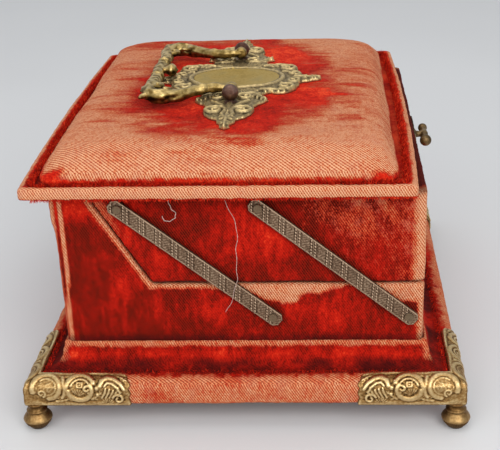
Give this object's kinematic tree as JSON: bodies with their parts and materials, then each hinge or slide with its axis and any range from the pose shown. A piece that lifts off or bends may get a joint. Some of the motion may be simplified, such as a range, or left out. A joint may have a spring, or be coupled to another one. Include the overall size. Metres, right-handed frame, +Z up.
{
  "type": "jewellery box",
  "caption": "Velvet-covered jewellery casket with a padded lid, a bail handle, ball feet, and a tray that swings out on arms as the lid opens.",
  "frame": {"origin": "middle of the footprint at the height of the table the feet stand on", "axes": "+X along the length, -Y towards the clasp at the front, +Z up"},
  "size_m": [0.2312, 0.2022, 0.1388],
  "materials": {
    "velvet": "worn silk velvet, crimson pile rubbed through to a tan ground",
    "satin": "aged satin",
    "mount_brass": "stamped, lacquer gone, dark in the hollows",
    "arm_brass": "embossed strip, tarnished grey-brown",
    "handle_brass": "cast and chased, greenish patina with bright edges",
    "post_copper": "copper-brown ball",
    "clasp_brass": "dull olive brass",
    "hinge_brass": "dull brass",
    "board": "stained softwood"
  },
  "bodies": {
    "case": {"base_floor": "board", "wall_front": "velvet", "wall_back": "velvet", "cheek_left": "velvet", "cheek_right": "velvet", "base_lining": "satin", "plinth_front": "velvet", "plinth_back": "velvet", "plinth_left": "velvet", "plinth_right": "velvet", "corner_mount_left_front": "mount_brass", "corner_mount_left_back": "mount_brass", "corner_mount_right_front": "mount_brass", "corner_mount_right_back": "mount_brass", "foot_left_front": "mount_brass", "foot_left_back": "mount_brass", "foot_right_front": "mount_brass", "foot_right_back": "mount_brass", "hinge_case_leaf_left": "hinge_brass", "hinge_case_leaf_right": "hinge_brass", "hinge_pin_left": "hinge_brass", "hinge_pin_right": "hinge_brass", "rivet_case_left_front": "arm_brass", "rivet_case_left_rear": "arm_brass", "rivet_case_right_front": "arm_brass", "rivet_case_right_rear": "arm_brass"},
    "lid": {"lid_board": "velvet", "lid_pad": "velvet", "lid_lining": "satin", "lid_staple": "clasp_brass", "escutcheon": "handle_brass", "bail_post_left": "post_copper", "bail_post_right": "post_copper", "hinge_lid_leaf_left": "hinge_brass", "hinge_lid_leaf_right": "hinge_brass"},
    "bail": {"bail_handle": "handle_brass"},
    "arm_left_front": {"arm_left_front": "arm_brass"},
    "arm_left_rear": {"arm_left_rear": "arm_brass"},
    "arm_right_front": {"arm_right_front": "arm_brass"},
    "arm_right_rear": {"arm_right_rear": "arm_brass"},
    "tray": {"tray_left": "velvet", "tray_right": "velvet", "tray_front": "velvet", "tray_back": "velvet", "tray_floor": "velvet", "tray_divider": "satin", "tray_lining": "satin", "ring_cushion": "satin", "clasp_plate": "clasp_brass", "rivet_tray_left_front": "arm_brass", "rivet_tray_left_rear": "arm_brass", "rivet_tray_right_front": "arm_brass", "rivet_tray_right_rear": "arm_brass"},
    "catch": {"clasp_knob": "clasp_brass", "clasp_crescent": "clasp_brass"}
  },
  "joints": [
    {"name": "lid_hinge", "type": "hinge", "parent": "case", "child": "lid", "pos_m": [0, 0.0836, 0.1077], "axis": [-1, 0, 0], "range_deg": [0, 100]},
    {"name": "arm_pivot_left_front", "type": "hinge", "parent": "case", "child": "arm_left_front", "pos_m": [-0.09685, -0.0734, 0.0489], "axis": [1, 0, 0], "range_deg": [0, 60]},
    {"name": "arm_pivot_left_rear", "type": "hinge", "parent": "case", "child": "arm_left_rear", "pos_m": [-0.09685, -0.0132, 0.0489], "axis": [1, 0, 0], "range_deg": [0, 60]},
    {"name": "arm_pivot_right_front", "type": "hinge", "parent": "case", "child": "arm_right_front", "pos_m": [0.09685, -0.0734, 0.0489], "axis": [1, 0, 0], "range_deg": [0, 60]},
    {"name": "arm_pivot_right_rear", "type": "hinge", "parent": "case", "child": "arm_right_rear", "pos_m": [0.09685, -0.0132, 0.0489], "axis": [1, 0, 0], "range_deg": [0, 60]},
    {"name": "tray_pivot", "type": "hinge", "parent": "arm_left_front", "child": "tray", "pos_m": [-0.09685, -0.0083, 0.1019], "axis": [-1, 0, 0], "range_deg": [0, 60]},
    {"name": "bail_swing", "type": "hinge", "parent": "lid", "child": "bail", "pos_m": [0, 0.0068, 0.1348], "axis": [1, 0, 0], "range_deg": [0, 150]},
    {"name": "catch_turn", "type": "hinge", "parent": "tray", "child": "catch", "pos_m": [0, -0.081, 0.1], "axis": [0, -1, 0], "range_deg": [0, 80]}
  ],
  "couplings": [
    {"joint": "arm_pivot_left_front", "follows": "lid_hinge", "ratio": 0.6},
    {"joint": "arm_pivot_left_rear", "follows": "lid_hinge", "ratio": 0.6},
    {"joint": "arm_pivot_right_front", "follows": "lid_hinge", "ratio": 0.6},
    {"joint": "arm_pivot_right_rear", "follows": "lid_hinge", "ratio": 0.6},
    {"joint": "tray_pivot", "follows": "lid_hinge", "ratio": 0.6}
  ]
}
